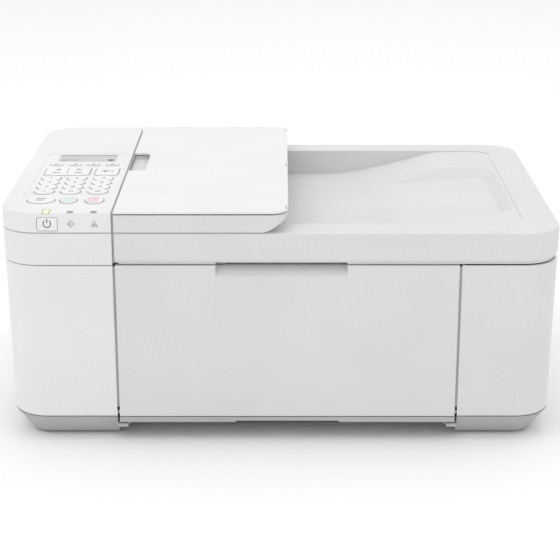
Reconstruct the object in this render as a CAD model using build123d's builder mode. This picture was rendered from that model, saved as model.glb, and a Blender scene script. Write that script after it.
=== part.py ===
"""A compact inkjet all-in-one printer: flatbed scanner with a sheet feeder on top of an inkjet engine.

Millimetres. X runs to the right, Y to the back and Z up. The origin is on the surface that the
feet stand on, under the middle of the machine. The front face is at -Y.
"""

from build123d import *
import math
import os

os.makedirs("parts", exist_ok=True)

# ---- overall sizes -------------------------------------------------------------------------
width = 435.0
depth = 295.0
height = 189.0
side_draft = 0.016  # the side walls lean in by this much for each mm further down
corner_radius = 29.0
wall = 2.5
seam = 0.6  # visible gap between one moulding and the next above it
half_w = width / 2
half_d = depth / 2
left = -half_w
right = half_w
front = -half_d
back = half_d

# ---- levels --------------------------------------------------------------------------------
floor_gap = 2.6  # underside of the base above the table
skirt_top = 19.7
skirt_inset = 12.5
shelf_bottom = 11.5
door_strip_bottom = 15.0
body_top = height - 43.3
cover_bottom = body_top + 1.0
rim_top = height - 17.2
housing_bottom = height - 16.5
panel_top = height - 0.5
tray_thickness = 1.8

# ---- vertical seams ------------------------------------------------------------------------
left_seam = left + 87.9
right_seam = right - 78.7
seam_half = 0.9

# ---- front door ----------------------------------------------------------------------------
door_thickness = 12.0
door_skin = 3.0
door_axis_inset = 4.5  # hinge axis behind the front face
door_axis_z = skirt_top + 2.8
door_pin_radius = 1.5
door_pin_length = 3.6  # past the end of the door, into the casing beside it
grip_half = 51.0
grip_depth = 8.5
grip_bottom = body_top - 8.5
grip_top = cover_bottom + 2.3
finger_room = 10.0  # how far the gap over the grip reaches in behind the cover's wall
support_width = 110.0
support_thickness = 2.4
support_bottom = 62.0

# ---- document cover ------------------------------------------------------------------------
recess_left = left_seam + 72.0
recess_right = right - 26.5
recess_front = front + 27.5
recess_back = back - 25.5
recess_radius = 15.0
recess_floor = cover_bottom + 3.5
ramp_start = left_seam + 168.0  # where the recess floor begins to climb to the right
cover_axis_inset = 6.0  # hinge axis in from the back face, and up from the cover's underside
cover_pin_radius = 2.0
shaft_clearance = 0.05
feeder_right = left_seam + 134.9
feeder_corner = 14.0
underside_plate = 2.0

# ---- scanner -------------------------------------------------------------------------------
scanner_bottom = body_top - 27.0

# ---- paper and print engine ----------------------------------------------------------------
paper_centre = (left_seam + right_seam) / 2
paper_width = 210.0
frame_left = left + 16.5
frame_right = right - 14.0
frame_sheet = 1.5
frame_foot = 14.0
frame_front = -78.0
frame_back = 56.0
feed_radius = 6.0
feed_y = 6.0
feed_z = 66.0
exit_y = -66.0
exit_radius = 5.0
exit_shaft = 3.0
pinch_radius = 3.0
pinch_shaft = 1.5
roller_gap = 0.3
shaft_radius = 4.0
shaft_z = 104.0
carriage_width = 92.0
carriage_home = frame_right - 51.5
belt_z = 100.0
belt_y = 16.5
belt_width = 4.0
belt_thickness = 1.2
pulley_radius = 6.0
left_pulley_x = frame_left + 13.0
right_pulley_x = frame_right - 9.5

door_left = left_seam + seam_half
door_right = right_seam - seam_half
left_edge = left_seam - seam_half
right_edge = right_seam + seam_half
casing_bottom = skirt_top + seam / 2
door_inner = front + door_thickness
door_axis_y = front + door_axis_inset
cover_axis_y = back - cover_axis_inset
cover_axis_z = cover_bottom + cover_axis_inset


def outline(level, inset=0.0):
    """Plan of the machine at one height: a rounded rectangle that narrows lower down."""
    narrow = side_draft * (rim_top - min(level, rim_top))
    RectangleRounded(width - 2 * narrow - 2 * inset, depth - 2 * inset, corner_radius - inset)


def brick(x, y, z, mode=Mode.ADD):
    """A box given by its low and high limits along X, Y and Z."""
    with Locations(((x[0] + x[1]) / 2, (y[0] + y[1]) / 2, (z[0] + z[1]) / 2)):
        Box(x[1] - x[0], y[1] - y[0], z[1] - z[0], mode=mode)


def rod(direction, start, radius, length, mode=Mode.ADD):
    """A cylinder that starts at a point and runs along one axis."""
    with Locations(Plane(origin=start, z_dir=direction)):
        Cylinder(radius, length, align=(Align.CENTER, Align.CENTER, Align.MIN), mode=mode)


def save(builder, name):
    """Labels one finished piece and writes it as its own STEP file."""
    builder.part.label = name
    export_step(builder.part, f"parts/{name}.step")


ALONG_X = (1, 0, 0)
ALONG_Y = (0, 1, 0)
ALONG_Z = (0, 0, 1)
FAR = 400.0  # reaches past the machine on any side

# ---- base ----------------------------------------------------------------------------------
foot_radius = 8.7
foot_seat = 1.2  # depth of the seat that a foot is pressed into
foot_places = [(x, y) for x in (left + 47.5, right - 47.5) for y in (front + 47.5, back - 35.5)]
shelf_front = front + 5.5
shelf_back = front + 43.5
shelf_thickness = 1.5
shelf_wall = 2.0
boss_depth = 10.0

with BuildPart() as skirt_block:
    with BuildSketch(Plane.XY.offset(floor_gap)):
        outline(floor_gap, skirt_inset)
    with BuildSketch(Plane.XY.offset(skirt_top)):
        outline(skirt_top)
    loft()

with BuildPart() as skirt_ends:
    brick((left_edge - shelf_wall, left_edge), (-FAR, shelf_back), (floor_gap, skirt_top))
    brick((right_edge, right_edge + shelf_wall), (-FAR, shelf_back), (floor_gap, skirt_top))
    add(skirt_block.part, mode=Mode.INTERSECT)

with BuildPart() as base_tray:
    add(skirt_block.part)
    with BuildSketch(Plane.XY.offset(floor_gap + wall)):
        outline(floor_gap, skirt_inset + wall)
    with BuildSketch(Plane.XY.offset(skirt_top)):
        outline(skirt_top, wall)
    loft(mode=Mode.SUBTRACT)
    brick((left_edge, right_edge), (-FAR, shelf_back), (-1, skirt_top + 1), mode=Mode.SUBTRACT)
    brick((left_edge, right_edge), (shelf_front, shelf_back), (shelf_bottom, shelf_bottom + shelf_thickness))
    brick((left_edge, right_edge), (shelf_back - shelf_wall, shelf_back),
          (floor_gap, shelf_bottom + shelf_thickness))
    for foot_x, foot_y in foot_places:
        rod(ALONG_Z, (foot_x, foot_y, floor_gap), foot_radius + 0.3, foot_seat, mode=Mode.SUBTRACT)
    add(skirt_ends.part)
    for lug_x in ((left_edge, left_edge + 8), (right_edge - 8, right_edge)):
        brick(lug_x, (front + 2, shelf_front + 2), (shelf_bottom - 1.3, shelf_bottom + shelf_thickness))
    for boss_x in ((frame_left + 4, frame_left + 14), (frame_right - 14, frame_right - 6)):
        for boss_y in (frame_front + 6, frame_back - 20):
            brick(boss_x, (boss_y, boss_y + boss_depth), (floor_gap + wall, frame_foot))
save(base_tray, "base_tray")

with BuildPart() as rubber_feet:
    for foot_x, foot_y in foot_places:
        rod(ALONG_Z, (foot_x, foot_y, 0), foot_radius, floor_gap + foot_seat)
    fillet(rubber_feet.edges().group_by(Axis.Z)[0], 0.5)
save(rubber_feet, "rubber_feet")

# ---- outer casing --------------------------------------------------------------------------
with BuildPart() as casing_block:
    with BuildSketch(Plane.XY.offset(casing_bottom)):
        outline(casing_bottom)
    with BuildSketch(Plane.XY.offset(body_top)):
        outline(body_top)
    loft()
    fillet(casing_block.edges().group_by(Axis.Z)[0], 1.6)
    fillet(casing_block.edges().group_by(Axis.Z)[-1], 0.8)

with BuildPart() as casing_core:
    with BuildSketch(Plane.XY.offset(casing_bottom - 1)):
        outline(casing_bottom, wall)
    with BuildSketch(Plane.XY.offset(body_top + 1)):
        outline(body_top, wall)
    loft()

flange = 26.0  # depth of the return walls beside the door and the back panel
socket_z = (30.0, 54.0)
inlet_x = (left + 37.5, left + 69.5)
socket_panel_x = (right - 67.5, right - 31.5)

with BuildPart() as left_core:
    add(casing_core.part)
    brick((-FAR, left_edge - wall), (-FAR, FAR), (0, FAR), mode=Mode.INTERSECT)

with BuildPart() as left_casing:
    add(casing_block.part)
    brick((-FAR, left_edge), (-FAR, FAR), (0, FAR), mode=Mode.INTERSECT)
    add(left_core.part, mode=Mode.SUBTRACT)
    brick((left_edge - wall - 1, left_edge + 1), (front + flange, back - flange), (0, FAR),
          mode=Mode.SUBTRACT)
    brick(inlet_x, (back - 5, back + 1), socket_z, mode=Mode.SUBTRACT)
    rod(ALONG_X, (left_edge - wall - 1, door_axis_y, door_axis_z), door_pin_radius + shaft_clearance,
        wall + 2, mode=Mode.SUBTRACT)
save(left_casing, "left_casing")

with BuildPart() as right_core:
    add(casing_core.part)
    brick((right_edge + wall, FAR), (-FAR, FAR), (0, FAR), mode=Mode.INTERSECT)

with BuildPart() as right_casing:
    add(casing_block.part)
    brick((right_edge, FAR), (-FAR, FAR), (0, FAR), mode=Mode.INTERSECT)
    add(right_core.part, mode=Mode.SUBTRACT)
    brick((right_edge - 1, right_edge + wall + 1), (front + flange, back - flange), (0, FAR),
          mode=Mode.SUBTRACT)
    brick((right_edge - 1, right_edge + wall + 1), (door_inner + 1, back - wall), (scanner_bottom - 1, FAR),
          mode=Mode.SUBTRACT)
    brick(socket_panel_x, (back - 5, back + 1), socket_z, mode=Mode.SUBTRACT)
    rod(ALONG_X, (right_edge - 1, door_axis_y, door_axis_z), door_pin_radius + shaft_clearance, wall + 2,
        mode=Mode.SUBTRACT)
save(right_casing, "right_casing")

rib_bottom = 24.0
vent_z = body_top - 22.0
latch_z = (96.0, 100.0)

with BuildPart() as rear_cover:
    add(casing_block.part)
    brick((door_left, door_right), (back - wall, FAR), (0, FAR), mode=Mode.INTERSECT)
    for rib_x in ((door_left + 4, door_left + 6), (door_right - 6, door_right - 4)):
        brick(rib_x, (back - 10, back - wall), (rib_bottom, scanner_bottom - 2))
    with Locations((paper_centre, back, vent_z)):
        with GridLocations(16, 0, 14, 1):
            Box(3.0, 12, 18, mode=Mode.SUBTRACT)
    brick((paper_centre - 22, paper_centre + 22), (back - 1.2, back + 1), latch_z, mode=Mode.SUBTRACT)
save(rear_cover, "rear_cover")

# ---- band and operation panel on the left --------------------------------------------------
band_bottom = body_top + seam

with BuildPart() as left_band:
    with BuildSketch(Plane.XY.offset(band_bottom)):
        outline(band_bottom)
    with BuildSketch(Plane.XY.offset(rim_top)):
        outline(rim_top)
    loft()
    fillet(left_band.edges().group_by(Axis.Z)[0], 0.6)
    fillet(left_band.edges().group_by(Axis.Z)[-1], 0.6)
    with BuildSketch(Plane.XY.offset(band_bottom - 1)):
        outline(band_bottom, wall)
    extrude(amount=rim_top, mode=Mode.SUBTRACT)
    brick((-FAR, left_edge), (-FAR, FAR), (0, FAR), mode=Mode.INTERSECT)
    brick((left_edge - wall, left_edge), (front + 1.5, back - 1.5), (band_bottom, rim_top))
save(left_band, "left_band")

panel_sheet = 2.5
key_clearance = 0.35
key_field_x = (left + 13.9, left + 84.1)
key_field_y = (-128.5, 42.0)
key_field_depth = 0.3
lcd_x = (left + 25.2, left + 74.4)
lcd_y = (15.0, 37.6)
lcd_depth = 1.2
lcd_thickness = 1.0
number_rows = 4
number_pitch = 14.1
number_top_y = -43.5
number_half_x = 7.7
number_half_y = 7.6
number_columns = {"left": left + 27.7, "middle": left + 48.9, "right": left + 70.6}
function_key_x = (left + 25.4, left + 41.8, left + 57.1, left + 73.3)
function_key_y = 2.8
function_key_length = 9.0
function_key_depth = 4.4
menu_y = (-33.3, -8.8)
menu_rocker_x = (left + 20.0, left + 56.8)
back_key_x = (left + 62.0, left + 80.6)
start_centre = (left + 50.5, -111.6)
stop_centre = (left + 70.9, -111.8)
redial_centre = (left + 28.9, -111.6)
on_button_x = (left + 30.5, left + 46.0)
on_button_z = (housing_bottom + 1.5, panel_top - 4.1)


def number_strip(column_x, grow=0.0):
    """Outline of one column of number keys: four ovals that run into each other."""
    for row in range(number_rows):
        with Locations((column_x, number_top_y - row * number_pitch)):
            Ellipse(number_half_x + grow, number_half_y + grow)


def span(low_high):
    """Middle and length of an interval."""
    return (low_high[0] + low_high[1]) / 2, low_high[1] - low_high[0]


def slab(x, y, radius, grow=0.0):
    """A rounded rectangle given by its limits along X and Y."""
    with Locations((span(x)[0], span(y)[0])):
        RectangleRounded(span(x)[1] + 2 * grow, span(y)[1] + 2 * grow, radius + grow)


def oval(centre, half_x, half_y, grow=0.0):
    """An oval key outline."""
    with Locations(centre):
        Ellipse(half_x + grow, half_y + grow)


def function_key(middle_x, grow=0.0):
    """One small key of the row under the display."""
    with Locations((middle_x, function_key_y)):
        RectangleRounded(function_key_length + 2 * grow, function_key_depth + 2 * grow, 2.0 + grow)


key_outlines = {
    "menu_rocker": lambda grow: slab(menu_rocker_x, menu_y, 3.0, grow),
    "back_key": lambda grow: slab(back_key_x, menu_y, 3.0, grow),
    "start_key": lambda grow: oval(start_centre, 6.2, 9.6, grow),
    "stop_key": lambda grow: oval(stop_centre, 7.0, 9.8, grow),
    "redial_key": lambda grow: oval(redial_centre, 10.4, 9.2, grow),
}
for column_name, column_x in number_columns.items():
    key_outlines[f"number_keys_{column_name}"] = lambda grow, x=column_x: number_strip(x, grow)
for number, key_x in enumerate(function_key_x, start=1):
    key_outlines[f"function_key_{number}"] = lambda grow, x=key_x: function_key(x, grow)

with BuildPart() as panel_housing:
    with BuildSketch(Plane.XY.offset(housing_bottom)):
        outline(rim_top)
    extrude(amount=panel_top - housing_bottom)
    fillet(panel_housing.edges().group_by(Axis.Z)[-1], 1.8)
    with BuildSketch(Plane.XY.offset(housing_bottom - 1)):
        outline(rim_top, wall)
    extrude(amount=panel_top - panel_sheet - housing_bottom + 1, mode=Mode.SUBTRACT)
    brick((-FAR, left_edge), (-FAR, FAR), (0, FAR), mode=Mode.INTERSECT)
    brick((left_edge - wall, left_edge), (front + 4, back - 4), (housing_bottom, panel_top - 1))
    with BuildSketch(Plane.XY.offset(panel_top - key_field_depth)):
        slab(key_field_x, key_field_y, 5.0)
    extrude(amount=2, mode=Mode.SUBTRACT)
    with BuildSketch(Plane.XY.offset(panel_top - lcd_depth)):
        slab(lcd_x, lcd_y, 1.0, 0.1)
    extrude(amount=3, mode=Mode.SUBTRACT)
    for key_outline in key_outlines.values():
        with BuildSketch(Plane.XY.offset(housing_bottom)):
            key_outline(key_clearance)
        extrude(amount=height - housing_bottom, mode=Mode.SUBTRACT)
    with BuildSketch(Plane.XZ.offset(half_d - 6)):
        slab(on_button_x, on_button_z, 1.4, key_clearance)
    extrude(amount=FAR, mode=Mode.SUBTRACT)
save(panel_housing, "panel_housing")

with BuildPart() as lcd_window:
    with BuildSketch(Plane.XY.offset(panel_top - lcd_depth)):
        slab(lcd_x, lcd_y, 1.0)
    extrude(amount=lcd_thickness)
save(lcd_window, "lcd_window")

key_flange = 1.4
key_flange_top = panel_top - panel_sheet - 0.2
key_height = height - 0.1

for key_name, key_outline in key_outlines.items():
    with BuildPart() as key_cap:
        with BuildSketch(Plane.XY.offset(key_flange_top)):
            key_outline(0.0)
        extrude(amount=key_height - key_flange_top)
        fillet(key_cap.edges().group_by(Axis.Z)[-1], 0.35)
        with BuildSketch(Plane.XY.offset(key_flange_top - key_flange)):
            key_outline(0.9)
        extrude(amount=key_flange)
    save(key_cap, key_name)

with BuildPart() as on_button:
    with BuildSketch(Plane.XZ.offset(half_d - wall - 1.5)):
        slab(on_button_x, on_button_z, 1.4)
    extrude(amount=wall + 1.7)
    fillet(on_button.edges().group_by(Axis.Y)[0], 0.4)
    with BuildSketch(Plane.XZ.offset(half_d - wall - 0.3 - key_flange)):
        slab((on_button_x[0] - 1.2, on_button_x[1] + 1.2), (on_button_z[0], on_button_z[1] + 0.9), 1.4)
    extrude(amount=key_flange)
save(on_button, "on_button")

# ---- front door ----------------------------------------------------------------------------
strip_top = skirt_top - seam / 2
support_x = (paper_centre - support_width / 2, paper_centre + support_width / 2)
support_y = (door_inner - 2.0 - 0.2 - support_thickness, door_inner - 2.2)

door_hollow_z = (26.0, body_top - 15.0)

with BuildPart() as front_door:
    brick((door_left, door_right), (front, door_inner), (casing_bottom, body_top))
    fillet(front_door.edges().filter_by_position(Axis.Y, front - 0.1, front + 0.1), 0.8)
    brick((door_left + wall, door_right - wall), (front + door_skin, door_inner + 1), door_hollow_z,
          mode=Mode.SUBTRACT)
    brick((support_x[0] - 6, support_x[1] + 6), (front + door_skin, door_inner),
          (support_bottom - 8, door_hollow_z[1]))
    brick((support_x[0] - 0.4, support_x[1] + 0.4), (support_y[0] - 0.2, support_y[1] + 0.2),
          (support_bottom - 0.5, body_top + 1), mode=Mode.SUBTRACT)
    with BuildSketch(Plane.YZ.offset(-grip_half)):
        with BuildLine():
            Polyline((front - 1, grip_bottom), (front, grip_bottom), (front + grip_depth, body_top),
                     (front + grip_depth, body_top + 1), (front - 1, body_top + 1), close=True)
        make_face()
    extrude(amount=2 * grip_half, mode=Mode.SUBTRACT)
    for pin_start in (door_left - door_pin_length, door_right - 1):
        rod(ALONG_X, (pin_start, door_axis_y, door_axis_z), door_pin_radius, door_pin_length + 1)
save(front_door, "front_door")

with BuildPart() as door_strip:
    brick((door_left, door_right), (front, front + 8.5), (door_strip_bottom, strip_top))
    fillet(door_strip.edges().filter_by(Axis.X).filter_by_position(Axis.Y, front - 0.1, front + 0.1), 0.5)
    brick((paper_centre - 41, paper_centre + 41), (front - 1, front + 9), (0, door_strip_bottom + 1.3),
          mode=Mode.SUBTRACT)
save(door_strip, "door_strip")

with BuildPart() as output_support:
    brick(support_x, support_y, (support_bottom, body_top - 1.0))
    brick((paper_centre - 20, paper_centre + 20), (support_y[0] - 1, support_y[1] + 1),
          (support_bottom + 10, support_bottom + 22), mode=Mode.SUBTRACT)
    fillet(output_support.edges().filter_by(Axis.Y).group_by(Axis.Z)[-1], 8.0)
save(output_support, "output_support")

# ---- output tray and paper guides ----------------------------------------------------------
tray_bottom = 60.0
tray_x = (paper_centre - 112.0, paper_centre + 112.0)

tray_y = (front + 14.0, -76.0)

with BuildPart() as output_tray:
    brick(tray_x, tray_y, (tray_bottom, tray_bottom + 2.5))
    brick((tray_x[0], tray_x[0] + 2), tray_y, (tray_bottom, tray_bottom + 6))
    brick((tray_x[1] - 2, tray_x[1]), tray_y, (tray_bottom, tray_bottom + 6))
    brick((paper_centre - 24, paper_centre + 24), (tray_y[0] - 6.5, tray_y[0] + 12.5),
          (tray_bottom - 1, tray_bottom + 7), mode=Mode.SUBTRACT)
save(output_tray, "output_tray")

guide_floor = floor_gap + wall
guide_span = paper_width / 2 + 1.0
guide_height = 36.0

for side_name, side in (("left", -1), ("right", 1)):
    guide_inner = paper_centre + side * guide_span
    guide_outer = guide_inner + side * 3.0
    with BuildPart() as paper_guide:
        rack_y = -58 if side < 0 else -40
        rack_end = paper_centre - side * 4
        lip_end = guide_inner - side * 18
        brick(tuple(sorted((guide_inner, guide_outer))), (-96, -8), (guide_floor + 0.4, guide_height))
        brick(tuple(sorted((guide_inner, lip_end))), (-90, -14), (guide_floor + 4.0, guide_floor + 5.5))
        brick(tuple(sorted((guide_inner, rack_end))), (rack_y, rack_y + 5),
              (guide_floor + 0.4, guide_floor + 3.4))
    save(paper_guide, f"paper_guide_{side_name}")

# ---- scanner -------------------------------------------------------------------------------
deck_thickness = 5.0
glass_thickness = 3.0
glass_x = (left_seam + 38.0, left_seam + 337.0)
glass_y = (-110.0, 110.0)
strip_glass_x = (left_seam + 13.0, left_seam + 29.0)
glass_clearance = 0.2
rebate = 2.0
deck_bottom = body_top - deck_thickness
post_x = (left_seam + 48.0, right - 47.5)
post_half = 10.0
post_y = (cover_axis_y - 5.0, cover_axis_y + 2.0)
post_bottom = scanner_bottom + 5.0
post_clearance = 0.3

with BuildPart() as scanner_frame:
    with BuildSketch(Plane.XY.offset(scanner_bottom)):
        outline(scanner_bottom, wall + 0.6)
    with BuildSketch(Plane.XY.offset(body_top)):
        outline(body_top, wall + 0.6)
    loft()
    with BuildSketch(Plane.XY.offset(scanner_bottom + 2)):
        outline(scanner_bottom, wall + 2.6)
    with BuildSketch(Plane.XY.offset(deck_bottom)):
        outline(deck_bottom, wall + 2.6)
    loft(mode=Mode.SUBTRACT)
    brick((door_left + 1, FAR), (door_inner + 1.5, FAR), (0, FAR), mode=Mode.INTERSECT)
    brick((door_left + 1, door_left + 3), (door_inner + 1.5, back - 7.5), (scanner_bottom, body_top))
    brick((door_left + 1, right - 9.8), (door_inner + 1.5, door_inner + 3.5), (scanner_bottom, body_top))
    for pane_x in (glass_x, strip_glass_x):
        brick((pane_x[0] + rebate, pane_x[1] - rebate), (glass_y[0] + rebate, glass_y[1] - rebate),
              (deck_bottom - 1, body_top + 1), mode=Mode.SUBTRACT)
        brick((pane_x[0] - glass_clearance, pane_x[1] + glass_clearance),
              (glass_y[0] - glass_clearance, glass_y[1] + glass_clearance),
              (body_top - glass_thickness, body_top + 1), mode=Mode.SUBTRACT)
    for middle_x in post_x:
        brick((middle_x - post_half - 3, middle_x + post_half + 3), (post_y[0] - 3, post_y[1] + 0.8),
              (scanner_bottom, deck_bottom))
        brick((middle_x - post_half - post_clearance, middle_x + post_half + post_clearance),
              (post_y[0] - post_clearance, post_y[1] + post_clearance),
              (post_bottom, body_top + 1), mode=Mode.SUBTRACT)
    brick((left_seam + 6, right - 9.5), (-4, 4), (scanner_bottom + 1, scanner_bottom + 6))
save(scanner_frame, "scanner_frame")

with BuildPart() as platen_glass:
    for pane_x in (glass_x, strip_glass_x):
        brick(pane_x, glass_y, (body_top - glass_thickness, body_top))
save(platen_glass, "platen_glass")

scan_bar_x = (left_seam + 15.0, left_seam + 27.0)

with BuildPart() as scan_bar:
    brick(scan_bar_x, (-112, 112), (scanner_bottom + 7, deck_bottom - 0.6))
    brick((scan_bar_x[0] + 4, scan_bar_x[1] - 4), (-108, 108), (deck_bottom - 2, deck_bottom),
          mode=Mode.SUBTRACT)
save(scan_bar, "scan_bar")

with BuildPart() as hinge_posts:
    for middle_x in post_x:
        brick((middle_x - post_half, middle_x + post_half), post_y, (post_bottom, cover_axis_z))
        rod(ALONG_X, (middle_x - post_half, cover_axis_y, cover_axis_z), cover_axis_inset - 0.2,
            2 * post_half)
        rod(ALONG_X, (middle_x - post_half - 1, cover_axis_y, cover_axis_z),
            cover_pin_radius + shaft_clearance, 2 * post_half + 2, mode=Mode.SUBTRACT)
save(hinge_posts, "hinge_posts")

# ---- document cover ------------------------------------------------------------------------
cover_left = door_left
underside_top = cover_bottom + underside_plate
recess_skin = 1.5
feed_slot_x = (left_seam + 8.0, recess_left + 1.0)
feed_slot_y = (-112.0, 112.0)
feed_roller_at = (left_seam + 26.0, rim_top - 5.8)
exit_roller_at = (left_seam + 62.0, rim_top - 11.8)
feeder_shaft = 3.0


def recess_void(grow):
    """The hollow that finished sheets drop into: its floor climbs to the right like a ramp."""
    floor_z = recess_floor - grow
    ramp = [(ramp_start, floor_z), (ramp_start + 28, rim_top - 19.2 - grow),
            (ramp_start + 57, rim_top - 13.0 - grow), (ramp_start + 82, rim_top - 6.7 - grow),
            (ramp_start + 107, rim_top - 1.0 - grow)]
    with BuildPart() as plan:
        with BuildSketch(Plane.XY.offset(recess_floor - 5)):
            slab((recess_left - 40, recess_right), (recess_front, recess_back), recess_radius, grow)
        extrude(amount=50)
        brick((recess_left - grow, FAR), (-FAR, FAR), (0, FAR), mode=Mode.INTERSECT)
    with BuildPart() as void:
        with BuildSketch(Plane.XZ.offset(-recess_back - 20)):
            with BuildLine():
                Line((recess_left - 9, rim_top + 28), (recess_left - 9, floor_z))
                Line((recess_left - 9, floor_z), (ramp_start, floor_z))
                Spline(ramp, tangents=[(1, 0), (1, 0.1)])
                Line(ramp[-1], (recess_right + 20, rim_top - 0.6 - grow))
                Line((recess_right + 20, rim_top - 0.6 - grow), (recess_right + 20, rim_top + 28))
                Line((recess_right + 20, rim_top + 28), (recess_left - 9, rim_top + 28))
            make_face()
        extrude(amount=recess_back - recess_front + 40)
        add(plan.part, mode=Mode.INTERSECT)
    return void.part


def pocket_void(grow):
    """The shallow stop pocket at the top of the ramp, with sloping sides."""
    with BuildPart() as pocket:
        with BuildSketch(Plane.XY.offset(rim_top)):
            slab((ramp_start + 20, recess_right - 3), (-86, 64), 14.0, grow)
        extrude(amount=-20, taper=50)
        pocket_floor = Plane(origin=(ramp_start + 40, 0, rim_top - 13.6 - grow), z_dir=(-6.0, 0, 97.0))
        split(bisect_by=pocket_floor, keep=Keep.TOP)
    return pocket.part


recess_cut = recess_void(0.0)
recess_tub = recess_void(recess_skin)
pocket_cut = pocket_void(0.0)
pocket_tub = pocket_void(recess_skin)

with BuildPart() as cover_hollow:
    with BuildSketch(Plane.XY.offset(cover_bottom - 1)):
        outline(cover_bottom, wall)
    extrude(amount=rim_top - wall - cover_bottom + 1)
    brick((cover_left + wall, FAR), (-FAR, cover_axis_y - 9), (0, FAR), mode=Mode.INTERSECT)
    add(recess_tub, mode=Mode.SUBTRACT)
    add(pocket_tub, mode=Mode.SUBTRACT)

with BuildPart() as underside_seat:
    with BuildSketch(Plane.XY.offset(cover_bottom - 1)):
        outline(cover_bottom, wall)
    extrude(amount=underside_plate + 1)
    brick((cover_left + wall, FAR), (-FAR, cover_axis_y - 9), (0, FAR), mode=Mode.INTERSECT)

with BuildPart() as lid_shell:
    with BuildSketch(Plane.XY.offset(cover_bottom)):
        outline(cover_bottom)
    with BuildSketch(Plane.XY.offset(rim_top)):
        outline(rim_top)
    loft()
    fillet(lid_shell.edges().group_by(Axis.Z)[-1], 1.2)
    brick((cover_left, FAR), (-FAR, FAR), (0, FAR), mode=Mode.INTERSECT)
    fillet(lid_shell.edges().filter_by(Axis.X).filter_by_position(Axis.Y, back - 1, back + 1)
           .filter_by_position(Axis.Z, cover_bottom - 1, cover_bottom + 1), cover_axis_inset - 0.05)
    add(cover_hollow.part, mode=Mode.SUBTRACT)
    add(underside_seat.part, mode=Mode.SUBTRACT)
    add(recess_cut, mode=Mode.SUBTRACT)
    add(pocket_cut, mode=Mode.SUBTRACT)
    brick(feed_slot_x, feed_slot_y, (underside_top, rim_top + 1), mode=Mode.SUBTRACT)
    for bearing_x, bearing_z in (feed_roller_at, exit_roller_at):
        for bearing_y in (feed_slot_y[0] - 3, feed_slot_y[1]):
            brick((bearing_x - 6, bearing_x + 6), (bearing_y, bearing_y + 3),
                  (underside_top + 0.2, rim_top - 1))
            rod(ALONG_Y, (bearing_x, bearing_y - 1, bearing_z), feeder_shaft + shaft_clearance, 5,
                mode=Mode.SUBTRACT)
    for middle_x in post_x:
        brick((middle_x - post_half - 0.4, middle_x + post_half + 0.4), (cover_axis_y - 7.5, FAR),
              (0, cover_axis_z + 8), mode=Mode.SUBTRACT)
        rod(ALONG_X, (middle_x - post_half - 0.4, cover_axis_y, cover_axis_z), cover_pin_radius,
            2 * post_half + 0.8)
    with BuildSketch(Plane.XZ.offset(half_d + 1)):
        slab((-grip_half, grip_half), (cover_bottom - 6, grip_top), 1.6)
    extrude(amount=-(wall + 0.9), mode=Mode.SUBTRACT)
save(lid_shell, "lid_shell")

with BuildPart() as cover_underside:
    with BuildSketch(Plane.XY.offset(cover_bottom)):
        outline(cover_bottom, wall + 0.3)
    extrude(amount=underside_plate)
    brick((cover_left + wall + 0.3, FAR), (-FAR, cover_axis_y - 9.3), (0, FAR), mode=Mode.INTERSECT)
    brick(strip_glass_x, feed_slot_y, (0, FAR), mode=Mode.SUBTRACT)
    brick((-grip_half, grip_half), (-FAR, front + wall + finger_room), (0, FAR), mode=Mode.SUBTRACT)
save(cover_underside, "cover_underside")

# ---- document feeder -----------------------------------------------------------------------
tray_bottom_z = height - tray_thickness
tray_gap = 1.0  # shadow gap between the housing and the tray that lies on it
housing_top = tray_bottom_z - tray_gap
notch_x = (cover_left - 20.0, cover_left + 14.3)
notch_y = (-19.5, 42.0)
notch_floor = housing_top - 2.7
tray_axis_x = feeder_right - tray_thickness / 2
tray_axis_z = height - tray_thickness / 2
tray_pin = 0.5
ear_radius = tray_thickness / 2
ear_y = (-138.0, -4.0, 130.0)
ear_length = 8.0


def feeder_section(grow):
    """Front view of the feeder housing: the lower right side sweeps up to the tray's edge."""
    edge = feeder_right - grow
    sweep = [(edge - 19.5, housing_bottom + grow), (edge - 11.5, housing_bottom + 3.4 + grow),
             (edge - 4.0, housing_bottom + 8.4 + grow), (edge, housing_top)]
    with BuildPart() as section:
        with BuildSketch(Plane.XZ.offset(-FAR)):
            with BuildLine():
                Line((cover_left, housing_bottom + grow), sweep[0])
                Spline(sweep, tangents=[(1, 0.2), (0.25, 1)])
                Line((edge, housing_top), (cover_left, housing_top))
                Line((cover_left, housing_top), (cover_left, housing_bottom + grow))
            make_face()
        extrude(amount=2 * FAR)
    return section.part


def feeder_plan(grow=0.0):
    """Plan of the feeder: square at the seam, rounded at its right corners."""
    with Locations(((cover_left - 40 + feeder_right) / 2, 0)):
        RectangleRounded(feeder_right - cover_left + 40 - 2 * grow, depth - 2 * grow, feeder_corner - grow)


housing_section = feeder_section(0.0)
hollow_section = feeder_section(wall)

with BuildPart() as feeder_hollow:
    with BuildSketch(Plane.XY.offset(housing_bottom)):
        feeder_plan(wall)
    extrude(amount=30)
    add(hollow_section, mode=Mode.INTERSECT)
    brick((cover_left + wall, FAR), (-FAR, FAR), (0, FAR), mode=Mode.INTERSECT)

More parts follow.
